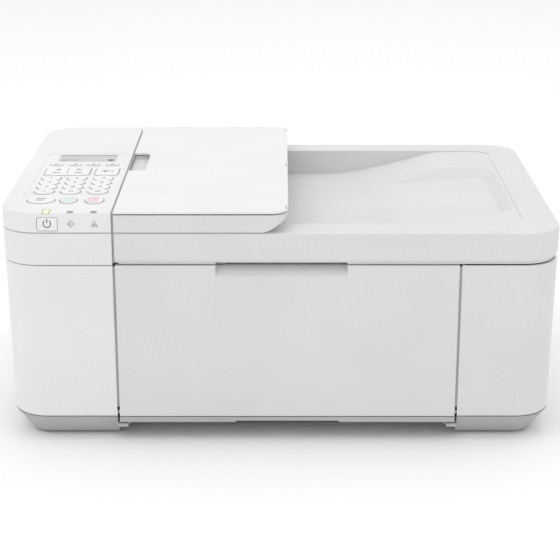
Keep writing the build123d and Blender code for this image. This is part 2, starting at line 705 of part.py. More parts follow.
with BuildPart() as adf_housing:
    with BuildSketch(Plane.XY.offset(housing_bottom)):
        feeder_plan()
    extrude(amount=housing_top - housing_bottom)
    add(housing_section, mode=Mode.INTERSECT)
    brick((cover_left, FAR), (-FAR, FAR), (0, FAR), mode=Mode.INTERSECT)
    add(feeder_hollow.part, mode=Mode.SUBTRACT)
    brick(feed_slot_x, feed_slot_y, (0, FAR), mode=Mode.SUBTRACT)
    brick((cover_left + 1, notch_x[1] + 2.5), (notch_y[0] - 2.5, notch_y[1] + 2.5),
          (notch_floor - 1.5, housing_top))
    brick((cover_left - 1, notch_x[1] + 1), (notch_y[0] - 1, notch_y[1] + 1), (notch_floor, FAR),
          mode=Mode.SUBTRACT)
    for ear_start in ear_y:
        brick((tray_axis_x - ear_radius, tray_axis_x + 0.2), (ear_start, ear_start + ear_length),
              (housing_top - 3, tray_axis_z))
        rod(ALONG_Y, (tray_axis_x, ear_start, tray_axis_z), ear_radius, ear_length)
        rod(ALONG_Y, (tray_axis_x, ear_start - 1, tray_axis_z), tray_pin + shaft_clearance, ear_length + 2,
            mode=Mode.SUBTRACT)
save(adf_housing, "adf_housing")

with BuildPart() as document_tray:
    with BuildSketch(Plane.XY.offset(tray_bottom_z)):
        feeder_plan()
    extrude(amount=tray_thickness)
    brick((cover_left, tray_axis_x), (-FAR, FAR), (0, FAR), mode=Mode.INTERSECT)
    fillet(document_tray.edges().group_by(Axis.Z)[-1].filter_by_position(Axis.X, -FAR, tray_axis_x - 3), 0.5)
    rod(ALONG_Y, (tray_axis_x, front + feeder_corner, tray_axis_z), tray_thickness / 2,
        depth - 2 * feeder_corner)
    for ear_start in ear_y:
        brick((tray_axis_x - ear_radius - 0.3, tray_axis_x + 3),
              (ear_start - 0.2, ear_start + ear_length + 0.2), (0, FAR), mode=Mode.SUBTRACT)
        rod(ALONG_Y, (tray_axis_x, ear_start - 0.2, tray_axis_z), tray_pin, ear_length + 0.4)
    with BuildSketch(Plane.XY.offset(tray_bottom_z - 1)):
        slab(notch_x, notch_y, 5.0)
    extrude(amount=10, mode=Mode.SUBTRACT)
save(document_tray, "document_tray")

document_half = 108.0
for side_name, side in (("front", -1), ("rear", 1)):
    with BuildPart() as document_guide:
        fence_y = tuple(sorted((side * document_half, side * (document_half + 2.5))))
        lip_y = tuple(sorted((side * document_half, side * (document_half - 22))))
        brick((feeder_right - 57.3, feeder_right - 19.3), fence_y, (tray_bottom_z - 8.3, tray_bottom_z - 0.3))
        brick((feeder_right - 49.3, feeder_right - 27.3), lip_y, (tray_bottom_z - 2.0, tray_bottom_z - 0.3))
    save(document_guide, f"document_guide_{side_name}")

feeder_cover_z = (height - 10.4, height - 8.6)

with BuildPart() as feeder_cover:
    brick((cover_left + wall + 0.5, left_seam + 58), (-110, 110), feeder_cover_z)
    brick((cover_left + wall + 0.5, cover_left + wall + 2.5), (-110, 110),
          (housing_bottom + wall, feeder_cover_z[0]))
    for rib_y in range(-100, 101, 40):
        brick((left_seam + 8, left_seam + 54), (rib_y - 0.6, rib_y + 0.6),
              (feeder_cover_z[1], feeder_cover_z[1] + 1.6))
save(feeder_cover, "feeder_cover")

with BuildPart() as adf_feed_roller:
    rod(ALONG_Y, (feed_roller_at[0], feed_slot_y[0] - 2.5, feed_roller_at[1]), feeder_shaft,
        feed_slot_y[1] - feed_slot_y[0] + 5)
    for tyre_y in (-46, -12, 22):
        rod(ALONG_Y, (feed_roller_at[0], tyre_y, feed_roller_at[1]), 10.5, 24)
save(adf_feed_roller, "adf_feed_roller")

with BuildPart() as adf_exit_roller:
    rod(ALONG_Y, (exit_roller_at[0], feed_slot_y[0] - 2.5, exit_roller_at[1]), feeder_shaft,
        feed_slot_y[1] - feed_slot_y[0] + 5)
    for tyre_y in (-80, -30, 14, 64):
        rod(ALONG_Y, (exit_roller_at[0], tyre_y, exit_roller_at[1]), 5.5, 16)
save(adf_exit_roller, "adf_exit_roller")

# ---- print engine --------------------------------------------------------------------------
paper_plane = feed_z + feed_radius
exit_z = paper_plane - exit_radius
pinch_z = paper_plane + roller_gap + pinch_radius
gear_module = 1.0
feed_teeth = 40
pinion_teeth = 12
gear_width = 5.0
gear_x = frame_left - 7.5
gear_distance = gear_module * (feed_teeth + pinion_teeth) / 2
motor_y = feed_y + gear_distance
motor_radius = 11.0
motor_length = 27.0
pulley_shaft = 1.5
pinion_shaft = 1.2
rail_back = 19.5
rail_bottom = 84.0
rail_top = scanner_bottom - 1.0
arm_pivot = (46.0, 46.0)
arm_pivot_radius = 3.0
end_plates = ((frame_left, frame_left + frame_sheet), (frame_right, frame_right + frame_sheet))
journals = (
    (feed_y, feed_z, shaft_radius),
    (exit_y, exit_z, exit_shaft),
    (feed_y, pinch_z, pinch_shaft),
    (arm_pivot[0], arm_pivot[1], arm_pivot_radius),
)


def gear_teeth(teeth):
    """Outline of a small plastic gear with straight-sided teeth and some play."""
    pitch_radius = gear_module * teeth / 2
    tip = pitch_radius + 0.75 * gear_module
    root = pitch_radius - 1.15 * gear_module
    pitch = 2 * math.pi / teeth
    points = []
    for tooth in range(teeth):
        middle = tooth * pitch
        for radius, share in ((root, -0.33), (tip, -0.12), (tip, 0.12), (root, 0.33)):
            turn = middle + share * pitch
            points.append((radius * math.cos(turn), radius * math.sin(turn)))
    return points


with BuildPart() as chassis:
    for plate_x in end_plates:
        brick(plate_x, (frame_front, frame_back), (frame_foot, rail_top))
    for foot_x in ((frame_left, frame_left + 16), (frame_right - 16, frame_right + frame_sheet)):
        brick(foot_x, (frame_front, frame_back), (frame_foot, frame_foot + frame_sheet))
    brick((frame_left, frame_right), (rail_back, rail_back + frame_sheet), (rail_bottom, rail_top))
    for journal_y, journal_z, journal_radius in journals:
        rod(ALONG_X, (-FAR, journal_y, journal_z), journal_radius + shaft_clearance, 2 * FAR,
            mode=Mode.SUBTRACT)
    rod(ALONG_X, (-FAR, feed_y, shaft_z), shaft_radius, 2 * FAR, mode=Mode.SUBTRACT)
    rod(ALONG_Y, (left_pulley_x, rail_back - 1, belt_z), 3.0, 4, mode=Mode.SUBTRACT)
    rod(ALONG_Y, (right_pulley_x, rail_back - 1, belt_z), pulley_shaft + shaft_clearance, 4,
        mode=Mode.SUBTRACT)
    rod(ALONG_X, (frame_left - 1, motor_y, feed_z), 2.5, 4, mode=Mode.SUBTRACT)
save(chassis, "chassis")

with BuildPart() as guide_shaft:
    rod(ALONG_X, (frame_left - 1.5, feed_y, shaft_z), shaft_radius, frame_right - frame_left + 4.5)
    chamfer(guide_shaft.edges().group_by(Axis.X)[0], 0.5)
    chamfer(guide_shaft.edges().group_by(Axis.X)[-1], 0.5)
save(guide_shaft, "guide_shaft")

carriage_x = (carriage_home - carriage_width / 2, carriage_home + carriage_width / 2)
carriage_y = (-58.0, -2.0)
carriage_bottom = 79.0
carriage_top = 114.0
bay_wall = 2.0
bay_width = (carriage_width - 3 * bay_wall) / 2

with BuildPart() as carriage:
    brick(carriage_x, carriage_y, (carriage_bottom, carriage_top))
    for bay in (0, 1):
        bay_x = carriage_x[0] + bay_wall + bay * (bay_width + bay_wall)
        brick((bay_x, bay_x + bay_width), (carriage_y[0] + bay_wall, carriage_y[1] - bay_wall),
              (carriage_bottom + bay_wall, carriage_top + 1), mode=Mode.SUBTRACT)
        brick((bay_x + 6, bay_x + bay_width - 6), (carriage_y[0] + 10, carriage_y[1] - 10),
              (carriage_bottom - 1, carriage_top), mode=Mode.SUBTRACT)
    brick(carriage_x, (carriage_y[1], 13.6), (shaft_z - 8, shaft_z + 8))
    rod(ALONG_X, (carriage_x[0] - 1, feed_y, shaft_z), shaft_radius + shaft_clearance, carriage_width + 2,
        mode=Mode.SUBTRACT)
    brick((carriage_home - 8, carriage_home + 8), (11.5, 19.0), (89.5, shaft_z - 6.5))
    brick((carriage_home - 9, carriage_home + 9), (13.8, 20), (92.0, 94.6), mode=Mode.SUBTRACT)
save(carriage, "carriage")

with BuildPart() as ink_cartridges:
    for bay in (0, 1):
        bay_x = carriage_x[0] + bay_wall + bay * (bay_width + bay_wall)
        brick((bay_x + 0.4, bay_x + bay_width - 0.4),
              (carriage_y[0] + bay_wall + 0.4, carriage_y[1] - bay_wall - 0.4),
              (carriage_bottom + bay_wall, carriage_top + 2))
        brick((bay_x + 6.5, bay_x + bay_width - 6.5), (carriage_y[0] + 10.5, carriage_y[1] - 10.5),
              (carriage_bottom - 2.5, carriage_bottom + bay_wall))
        brick((bay_x + 3, bay_x + bay_width - 3), (carriage_y[0] + 0.6 + bay_wall, carriage_y[0] + 9),
              (carriage_top - 1, carriage_top + 3), mode=Mode.SUBTRACT)
save(ink_cartridges, "ink_cartridges")

with BuildPart() as timing_belt:
    with BuildSketch(Plane.XZ.offset(-belt_y - belt_width / 2)):
        with Locations(((left_pulley_x + right_pulley_x) / 2, belt_z)):
            SlotCenterToCenter(right_pulley_x - left_pulley_x, 2 * (pulley_radius + 0.2 + belt_thickness))
            SlotCenterToCenter(right_pulley_x - left_pulley_x, 2 * (pulley_radius + 0.2), mode=Mode.SUBTRACT)
    extrude(amount=belt_width)
save(timing_belt, "timing_belt")

with BuildPart() as motor_pulley:
    rod(ALONG_Y, (left_pulley_x, belt_y - belt_width / 2, belt_z), pulley_radius - 0.1, belt_width)
    rod(ALONG_Y, (left_pulley_x, belt_y, belt_z), pulley_shaft, rail_back + frame_sheet + 3.8 - belt_y)
save(motor_pulley, "motor_pulley")

with BuildPart() as idler_pulley:
    rod(ALONG_Y, (right_pulley_x, belt_y - belt_width / 2, belt_z), pulley_radius - 0.1, belt_width)
    rod(ALONG_Y, (right_pulley_x, belt_y, belt_z), pulley_shaft, rail_back + frame_sheet + 1.5 - belt_y)
save(idler_pulley, "idler_pulley")

with BuildPart() as drive_motors:
    rod(ALONG_Y, (left_pulley_x, rail_back + frame_sheet, belt_z), motor_radius, motor_length)
    rod(ALONG_Y, (left_pulley_x, rail_back + frame_sheet - 1, belt_z), pulley_shaft + shaft_clearance, 5,
        mode=Mode.SUBTRACT)
    rod(ALONG_X, (frame_left + frame_sheet, motor_y, feed_z), motor_radius, motor_length)
    rod(ALONG_X, (frame_left + frame_sheet - 1, motor_y, feed_z), pinion_shaft + shaft_clearance, 6,
        mode=Mode.SUBTRACT)
save(drive_motors, "drive_motors")

with BuildPart() as motor_pinion:
    with BuildSketch(Plane.YZ.offset(gear_x)):
        with Locations((motor_y, feed_z)):
            with Locations(Rotation(0, 0, 180 / pinion_teeth)):
                Polygon(*gear_teeth(pinion_teeth), align=None)
    extrude(amount=gear_width)
    rod(ALONG_X, (gear_x, motor_y, feed_z), pinion_shaft, frame_left + frame_sheet + 4.5 - gear_x)
save(motor_pinion, "motor_pinion")

with BuildPart() as feed_gear:
    with BuildSketch(Plane.YZ.offset(gear_x)):
        with Locations((feed_y, feed_z)):
            Polygon(*gear_teeth(feed_teeth), align=None)
            Circle(shaft_radius, mode=Mode.SUBTRACT)
            with PolarLocations(11.5, 6):
                Circle(3.0, mode=Mode.SUBTRACT)
    extrude(amount=gear_width)
save(feed_gear, "feed_gear")

with BuildPart() as feed_roller:
    rod(ALONG_X, (frame_left + frame_sheet + 1, feed_y, feed_z), feed_radius,
        frame_right - frame_left - frame_sheet - 2)
    rod(ALONG_X, (gear_x, feed_y, feed_z), shaft_radius, frame_right + 4 - gear_x)
save(feed_roller, "feed_roller")

with BuildPart() as exit_roller:
    rod(ALONG_X, (frame_left - 1.5, exit_y, exit_z), exit_shaft, frame_right - frame_left + 5)
    for ring in range(5):
        rod(ALONG_X, (paper_centre - 95 + 45 * ring - 5, exit_y, exit_z), exit_radius, 10)
save(exit_roller, "exit_roller")

with BuildPart() as pinch_rollers:
    rod(ALONG_X, (frame_left - 1.5, feed_y, pinch_z), pinch_shaft, frame_right - frame_left + 5)
    for ring in range(6):
        rod(ALONG_X, (paper_centre - 100 + 36 * ring, feed_y, pinch_z), pinch_radius, 20)
save(pinch_rollers, "pinch_rollers")

with BuildPart() as print_platen:
    brick((paper_centre - 108, paper_centre + 108), (-56, -2.5), (58, 69))
    brick((paper_centre - 105, paper_centre + 105), (-53, -5.5), (57, 67), mode=Mode.SUBTRACT)
    for rib in range(11):
        rib_x = paper_centre - 100 + 20 * rib
        brick((rib_x - 1, rib_x + 1), (-56, -2.5), (69, 71.4))
    brick((frame_left + frame_sheet, frame_right), (-50, -44), (58, 62))
save(print_platen, "print_platen")

station_x = (carriage_x[0] + 11, carriage_x[1] - 3)

with BuildPart() as maintenance_station:
    brick(station_x, (-42, -10), (44, 70))
    brick((station_x[0] + 2, station_x[1] - 2), (-40, -12), (46, 71), mode=Mode.SUBTRACT)
    for bay in (0, 1):
        cap_x = carriage_x[0] + bay_wall + bay * (bay_width + bay_wall) + bay_width / 2
        brick((cap_x - 12, cap_x + 12), (-38, -16), (46, 75.5))
        brick((cap_x - 10, cap_x + 10), (-36, -18), (70, 76), mode=Mode.SUBTRACT)
save(maintenance_station, "maintenance_station")

pick_radius = 9.0
pick_shaft = 2.0
pick_at = (12.0, 14.5)

with BuildPart() as pick_arm:
    for cheek_x in (-12.5, 10.5):
        with BuildSketch(Plane.YZ.offset(paper_centre + cheek_x)):
            with BuildLine():
                Polyline((arm_pivot[0] + 4, arm_pivot[1] + 5), (arm_pivot[0] - 6, arm_pivot[1] + 5),
                         (pick_at[0] - 5, pick_at[1] + 4), (pick_at[0] - 5, pick_at[1] - 4),
                         (pick_at[0] + 4, pick_at[1] - 4), (arm_pivot[0] + 4, arm_pivot[1] - 5), close=True)
            make_face()
        extrude(amount=2)
    rod(ALONG_X, (frame_left - 1.5, arm_pivot[0], arm_pivot[1]), arm_pivot_radius,
        frame_right - frame_left + 5)
    rod(ALONG_X, (paper_centre - 13, pick_at[0], pick_at[1]), pick_shaft + shaft_clearance, 26,
        mode=Mode.SUBTRACT)
save(pick_arm, "pick_arm")

with BuildPart() as pick_roller:
    rod(ALONG_X, (paper_centre - 12.5, pick_at[0], pick_at[1]), pick_shaft, 25)
    rod(ALONG_X, (paper_centre - 9, pick_at[0], pick_at[1]), pick_radius, 18)
save(pick_roller, "pick_roller")

# ---- electrics -----------------------------------------------------------------------------
supply_x = (left + 22.5, left + 105.5)
supply_y = (62.0, 119.0)
supply_top = 28.0

with BuildPart() as power_supply:
    brick(supply_x, supply_y, (guide_floor, supply_top))
    with Locations((span(supply_x)[0], span(supply_y)[0], supply_top)):
        with GridLocations(7, 0, 11, 1):
            Box(3, 40, 3, mode=Mode.SUBTRACT)
save(power_supply, "power_supply")

inlet_middle = span(inlet_x)[0]

with BuildPart() as power_inlet:
    brick((inlet_x[0] + 0.4, inlet_x[1] - 0.4), (back - 16, back - 0.4),
          (socket_z[0] + 0.4, socket_z[1] - 0.4))
    with BuildSketch(Plane.XZ.offset(-half_d)):
        with Locations((inlet_middle, span(socket_z)[0])):
            SlotOverall(22, 12)
    extrude(amount=12, mode=Mode.SUBTRACT)
    for pin_x in (inlet_middle - 4.5, inlet_middle + 4.5):
        rod(ALONG_Y, (pin_x, back - 13, span(socket_z)[0]), 1.2, 9)
save(power_inlet, "power_inlet")

board_x = (right - 8.5, right - 6.9)
bracket_x = (socket_panel_x[0] + 22, board_x[0] - 9)

with BuildPart() as main_board:
    brick(board_x, (-60, 110), (socket_z[0], 112))
    brick((socket_panel_x[0] + 0.4, socket_panel_x[1] - 0.4), (back - 14, back - 0.4),
          (socket_z[0] + 0.4, socket_z[1] - 0.4))
    for port_start, port_width, port_top in ((4, 8, 48), (15, 8, 46), (26, 8, 46)):
        port_x = socket_panel_x[0] + port_start
        brick((port_x, port_x + port_width), (back - 10, back + 1), (36, port_top), mode=Mode.SUBTRACT)
    brick(bracket_x, (back - 20, back - 18), (32, 52))
    brick((bracket_x[0], bracket_x[0] + 8), (back - 20, back - 12), (32, 52))
    brick((bracket_x[1] - 3, bracket_x[1]), (100, back - 18), (32, 52))
    brick((bracket_x[1] - 3, board_x[0]), (100, 108), (32, 52))
    brick((board_x[0] - 5, board_x[0]), (62, 92), (60, 90))
save(main_board, "main_board")
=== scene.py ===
# %% [markdown]
# # A compact inkjet printer
# The printer's casings, door, cover and mechanism come ready made from its CAD model, which is the fixed
# frame of this scene. Blender adds the finish of every surface, the numbers and icons on the keys, the lamps,
# the marks on the display, and strips in the seams. Some of it is painted light and shade: lighter copies of
# the shell plastic where light falls more strongly, a painted shadow along the display's upper edge, and grey
# and dark strips that stand for the shade in the seams and under the door. Every length below is in metres,
# in the CAD model's own frame: X to the right, Y to the back, Z up.

# %% Load the frame
import math
import bmesh
import bpy
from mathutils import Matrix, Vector


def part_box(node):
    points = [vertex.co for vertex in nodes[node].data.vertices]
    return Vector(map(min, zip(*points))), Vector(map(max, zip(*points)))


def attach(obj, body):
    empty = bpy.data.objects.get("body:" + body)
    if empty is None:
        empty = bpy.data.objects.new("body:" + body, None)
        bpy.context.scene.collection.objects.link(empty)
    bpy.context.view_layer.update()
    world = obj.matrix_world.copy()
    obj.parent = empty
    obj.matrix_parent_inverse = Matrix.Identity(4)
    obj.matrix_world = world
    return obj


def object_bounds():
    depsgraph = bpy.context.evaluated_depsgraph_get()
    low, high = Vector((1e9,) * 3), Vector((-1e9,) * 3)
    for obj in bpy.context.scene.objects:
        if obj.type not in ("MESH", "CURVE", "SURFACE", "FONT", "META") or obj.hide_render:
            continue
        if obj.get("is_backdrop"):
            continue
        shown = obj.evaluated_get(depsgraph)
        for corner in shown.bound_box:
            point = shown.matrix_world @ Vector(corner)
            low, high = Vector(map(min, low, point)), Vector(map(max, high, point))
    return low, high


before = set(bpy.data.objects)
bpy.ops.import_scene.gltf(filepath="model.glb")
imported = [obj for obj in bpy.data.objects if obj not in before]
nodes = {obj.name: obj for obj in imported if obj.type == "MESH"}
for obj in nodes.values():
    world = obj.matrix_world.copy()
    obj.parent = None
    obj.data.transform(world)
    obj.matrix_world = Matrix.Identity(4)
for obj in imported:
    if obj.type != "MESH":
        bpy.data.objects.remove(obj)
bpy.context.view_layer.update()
mm = 0.001

# %% [markdown]
# ## Colours and nodes
# Paint makers and web pages give a colour as an sRGB hex value, but a shader works in linear light. One
# function makes that step. A second one adds a node to a material, sets its inputs and links the sockets
# that another node feeds. All the materials are made with these two.


# %% Two helpers for materials
def linear(hex_value):
    """An sRGB hex colour as the linear red, green, blue and alpha of a shader."""
    channels = [int(hex_value[i:i + 2], 16) / 255 for i in (1, 3, 5)]
    return [c / 12.92 if c <= 0.04045 else ((c + 0.055) / 1.055) ** 2.4 for c in channels] + [1.0]


def add_node(tree, kind, inputs=None, **settings):
    """Adds a node, gives it its settings, and sets or links its inputs."""
    made = tree.nodes.new(kind)
    for name, value in settings.items():
        setattr(made, name, value)
    for name, value in (inputs or {}).items():
        if isinstance(value, bpy.types.NodeSocket):
            tree.links.new(value, made.inputs[name])
        else:
            made.inputs[name].default_value = value
    return made


def new_material(name):
    """An empty node material with its output, and the object's own coordinates."""
    material = bpy.data.materials.new(name)
    material.use_nodes = True
    tree = material.node_tree
    tree.nodes.clear()
    where = add_node(tree, "ShaderNodeTexCoord").outputs["Object"]
    output = add_node(tree, "ShaderNodeOutputMaterial")
    return material, tree, where, output


# %% [markdown]
# ## Moulded plastics
# The shells are injection-moulded polystyrene. The tool is spark-eroded, which leaves a very fine even
# grain: it takes the mirror off the surface and gives a soft, broad highlight. The melt also cools
# unevenly, so wide areas differ slightly in tone. One recipe serves all the plastics: a broad noise for
# the tone, a second one for the gloss, and a fine one for the grain.


# %% The recipe for a moulded plastic
def moulded_plastic(name, light, dark, gloss, grain, relief, specular=0.5, flow=60 * mm):
    """Injection-moulded plastic: slow change of tone over `flow`, and a grain of `grain` metres."""
    material, tree, where, output = new_material(name)
    tone = add_node(tree, "ShaderNodeTexNoise", {"Vector": where, "Scale": 1 / flow, "Detail": 3.0})
    tones = add_node(tree, "ShaderNodeValToRGB", {"Fac": tone.outputs["Fac"]})
    tones.color_ramp.elements[0].position = 0.3
    tones.color_ramp.elements[0].color = linear(dark)
    tones.color_ramp.elements[1].position = 0.7
    tones.color_ramp.elements[1].color = linear(light)
    speckle = add_node(tree, "ShaderNodeTexNoise", {"Vector": where, "Scale": 1 / grain, "Detail": 2.0})
    sheen = add_node(tree, "ShaderNodeMapRange", {
        "Value": speckle.outputs["Fac"], "From Min": 0.3, "From Max": 0.7,
        "To Min": gloss - 0.05, "To Max": gloss + 0.05})
    bump = add_node(tree, "ShaderNodeBump", {
        "Height": speckle.outputs["Fac"], "Strength": relief, "Distance": grain * 0.1})
    shader = add_node(tree, "ShaderNodeBsdfPrincipled", {
        "Base Color": tones.outputs["Color"], "Roughness": sheen.outputs["Result"],
        "Normal": bump.outputs["Normal"], "IOR": 1.5, "Specular IOR Level": specular})
    tree.links.new(shader.outputs["BSDF"], output.inputs["Surface"])
    return material


# high-impact polystyrene, spark-eroded: matt white with a soft wide highlight
# the shells share this plastic, and the copies below only set how light each of them reads, which is painted
# light: the left casing and the tops of tray and panel are painted lighter, as more strongly lit
shell_white = moulded_plastic("white_polystyrene_shell", "#DFDFDF", "#DBDBDB", 0.46, 0.9 * mm, 0.12)
# painted light: a lighter copy of the shell plastic for the left casing and its band, which read brighter in
# the light
casing_white_painted_light = moulded_plastic("white_polystyrene_casing_painted_light", "#E9E9E9", "#E5E5E5", 0.44, 0.9 * mm, 0.11)
# the cover, close to the other shells in tone but a little rougher
cover_white = moulded_plastic("white_polystyrene_cover", "#DFDFDF", "#DBDBDB", 0.5, 0.9 * mm, 0.14)
# painted light: the tray on top of the feeder, a lighter copy of the shell plastic for its lit top, the
# lightest of the shells
tray_white_painted_light = moulded_plastic("white_polystyrene_tray_painted_light", "#EDEDED", "#E9E9E9", 0.42, 0.9 * mm, 0.10)
# painted light: the operation panel, a lighter copy of the shell plastic, almost as light as the tray, with a
# finer grain
panel_white_painted_light = moulded_plastic("white_polystyrene_panel_painted_light", "#ECECEC", "#E7E7E7", 0.42, 0.8 * mm, 0.10)
# grey-filled polystyrene of the base, a coarser etch that hides scuffs
base_grey = moulded_plastic("grey_polystyrene_base", "#B8B8B8", "#B0B0B0", 0.55, 1.2 * mm, 0.22)
# lighter grey of guides, trays and the parts a hand is meant to move
guide_grey = moulded_plastic("light_grey_abs_guides", "#C6C6C6", "#BDBDBD", 0.5, 1.0 * mm, 0.15)
# glass-filled black ABS of the mechanism
engine_black = moulded_plastic("black_abs_mechanism", "#1C1C1E", "#151517", 0.55, 1.0 * mm, 0.25)
# acetal gears and pulleys: waxy ivory, slightly shiny
gear_ivory = moulded_plastic("ivory_acetal_gears", "#E6E1D3", "#DCD6C6", 0.32, 1.5 * mm, 0.08)
# silicone-coated keys: soft and almost without gloss
key_white = moulded_plastic("soft_touch_white_keys", "#F0F0EF", "#EAEAE9", 0.6, 0.6 * mm, 0.12)
# foam-backed polyester film that presses the original on the glass
film_white = moulded_plastic("white_foam_backed_film", "#FAFAFA", "#F5F5F5", 0.35, 2.5 * mm, 0.10)

# %% [markdown]
# ## Rubber, metal, glass and board
# The mechanism shows when a door or a cover opens. Rollers are ground rubber, so their grain runs round
# them. The chassis is galvanised sheet, whose zinc crystals show as large faint flakes. The shafts are
# centreless-ground steel with hair-fine rings. The circuit board is glass fibre under green solder mask.


# %% The recipes for rubber, sheet steel and ground steel
def ground_rubber(name, light, dark, grain):
    """Vulcanised rubber with a dull skin and a ground, slightly rough surface."""
    material, tree, where, output = new_material(name)
    wear = add_node(tree, "ShaderNodeTexNoise", {"Vector": where, "Scale": 1 / grain, "Detail": 6.0})
    tones = add_node(tree, "ShaderNodeValToRGB", {"Fac": wear.outputs["Fac"]})
    tones.color_ramp.elements[0].color = linear(dark)
    tones.color_ramp.elements[1].color = linear(light)
    bump = add_node(tree, "ShaderNodeBump", {
        "Height": wear.outputs["Fac"], "Strength": 0.3, "Distance": grain * 0.1})
    shader = add_node(tree, "ShaderNodeBsdfPrincipled", {
        "Base Color": tones.outputs["Color"], "Roughness": 0.82, "Normal": bump.outputs["Normal"]})
    tree.links.new(shader.outputs["BSDF"], output.inputs["Surface"])
    return material


def sheet_metal(name, light, dark, flake, rough_low, rough_high, stretch=(1, 1, 1)):
    """A metal surface whose crystals or grinding marks are `flake` metres across."""
    material, tree, where, output = new_material(name)
    turned = add_node(tree, "ShaderNodeMapping", {"Vector": where, "Scale": stretch})
    crystal = add_node(tree, "ShaderNodeTexVoronoi", {
        "Vector": turned.outputs["Vector"], "Scale": 1 / flake, "Randomness": 1.0})
    tones = add_node(tree, "ShaderNodeValToRGB", {"Fac": crystal.outputs["Distance"]})
    tones.color_ramp.elements[0].color = linear(light)
    tones.color_ramp.elements[1].color = linear(dark)
    sheen = add_node(tree, "ShaderNodeMapRange", {
        "Value": crystal.outputs["Distance"], "To Min": rough_low, "To Max": rough_high})
    shader = add_node(tree, "ShaderNodeBsdfPrincipled", {
        "Base Color": tones.outputs["Color"], "Roughness": sheen.outputs["Result"], "Metallic": 1.0})
    tree.links.new(shader.outputs["BSDF"], output.inputs["Surface"])
    return material


roller_rubber = ground_rubber("ground_rubber_rollers", "#3A3A3C", "#29292B", 0.8 * mm)
foot_rubber = ground_rubber("moulded_rubber_feet", "#2B2B2C", "#202021", 1.0 * mm)
belt_rubber = ground_rubber("neoprene_timing_belt", "#1F1F20", "#151516", 0.7 * mm)
chassis_zinc = sheet_metal("galvanised_steel_chassis", "#C9CCCE", "#A9ADB0", 9 * mm, 0.28, 0.42)
shaft_steel = sheet_metal("ground_steel_shaft", "#D2D2D4", "#B4B4B7", 0.5 * mm, 0.12, 0.22, (4, 1, 1))
motor_steel = sheet_metal("plated_steel_motor_can", "#B9BCBF", "#9A9DA0", 3 * mm, 0.3, 0.42)


# %% Glass, display and circuit board
def clear_glass(name, tint):
    """Float glass: clear, with the faint green of its iron and a barely wavy skin."""
    material, tree, where, output = new_material(name)
    wave = add_node(tree, "ShaderNodeTexNoise", {"Vector": where, "Scale": 1 / (40 * mm), "Detail": 1.0})
    tones = add_node(tree, "ShaderNodeValToRGB", {"Fac": wave.outputs["Fac"]})
    tones.color_ramp.elements[0].color = linear(tint)
    tones.color_ramp.elements[1].color = linear("#F4FAF8")
    bump = add_node(tree, "ShaderNodeBump", {"Height": wave.outputs["Fac"], "Strength": 0.02})
    shader = add_node(tree, "ShaderNodeBsdfPrincipled", {
        "Base Color": tones.outputs["Color"], "Roughness": 0.03, "IOR": 1.52,
        "Transmission Weight": 0.95, "Normal": bump.outputs["Normal"]})
    tree.links.new(shader.outputs["BSDF"], output.inputs["Surface"])
    return material


def cell_pattern(name, ground, lines, pitch, gloss, housing=None):
    """A fine square lattice, as the cells of a display or the weave in a circuit board.

    `housing` is the colour of a moulded block and the Y beyond which the piece is that block."""
    material, tree, where, output = new_material(name)
    brick = add_node(tree, "ShaderNodeTexBrick", {
        "Vector": where, "Color1": linear(ground), "Color2": linear(ground), "Mortar": linear(lines),
        "Scale": 1.0, "Mortar Size": pitch * 0.07, "Brick Width": pitch, "Row Height": pitch}, offset=0.0)
    haze = add_node(tree, "ShaderNodeTexNoise", {"Vector": where, "Scale": 1 / (12 * mm), "Detail": 2.0})
    sheen = add_node(tree, "ShaderNodeMapRange", {
        "Value": haze.outputs["Fac"], "To Min": gloss - 0.04, "To Max": gloss + 0.06})
    colour = brick.outputs["Color"]
    if housing is not None:
        block, from_y = housing
        place = add_node(tree, "ShaderNodeSeparateXYZ", {"Vector": where})
        beyond = add_node(tree, "ShaderNodeMath", {0: place.outputs["Y"], 1: from_y},
                          operation="GREATER_THAN")
        mixed = add_node(tree, "ShaderNodeMixRGB", {"Fac": beyond.outputs["Value"], "Color1": colour,
                                                    "Color2": linear(block)})
        colour = mixed.outputs["Color"]
    shader = add_node(tree, "ShaderNodeBsdfPrincipled", {
        "Base Color": colour, "Roughness": sheen.outputs["Result"]})
    tree.links.new(shader.outputs["BSDF"], output.inputs["Surface"])
    return material


scan_glass = clear_glass("float_glass_platen", "#E3F0EC")
display_cells = cell_pattern("liquid_crystal_display", "#C4C6C4", "#B9BBB9", 0.9 * mm, 0.18)
# the board's sockets fill its last 20 mm towards the back
sockets_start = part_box("main_board")[1].y - 20 * mm
black_sockets = ("#2A2A2C", sockets_start)
board_green = cell_pattern("green_solder_mask", "#1F6B3C", "#1A5E34", 2.2 * mm, 0.3, black_sockets)

# %% [markdown]
# ## Finishes on the CAD pieces
# The CAD pieces already have the right shapes, so they stay, and each one only gets its finish; the lighter
# copies of the shell plastic among them carry painted light. A table of finish and node names is easier to
# read than sixty assignments.

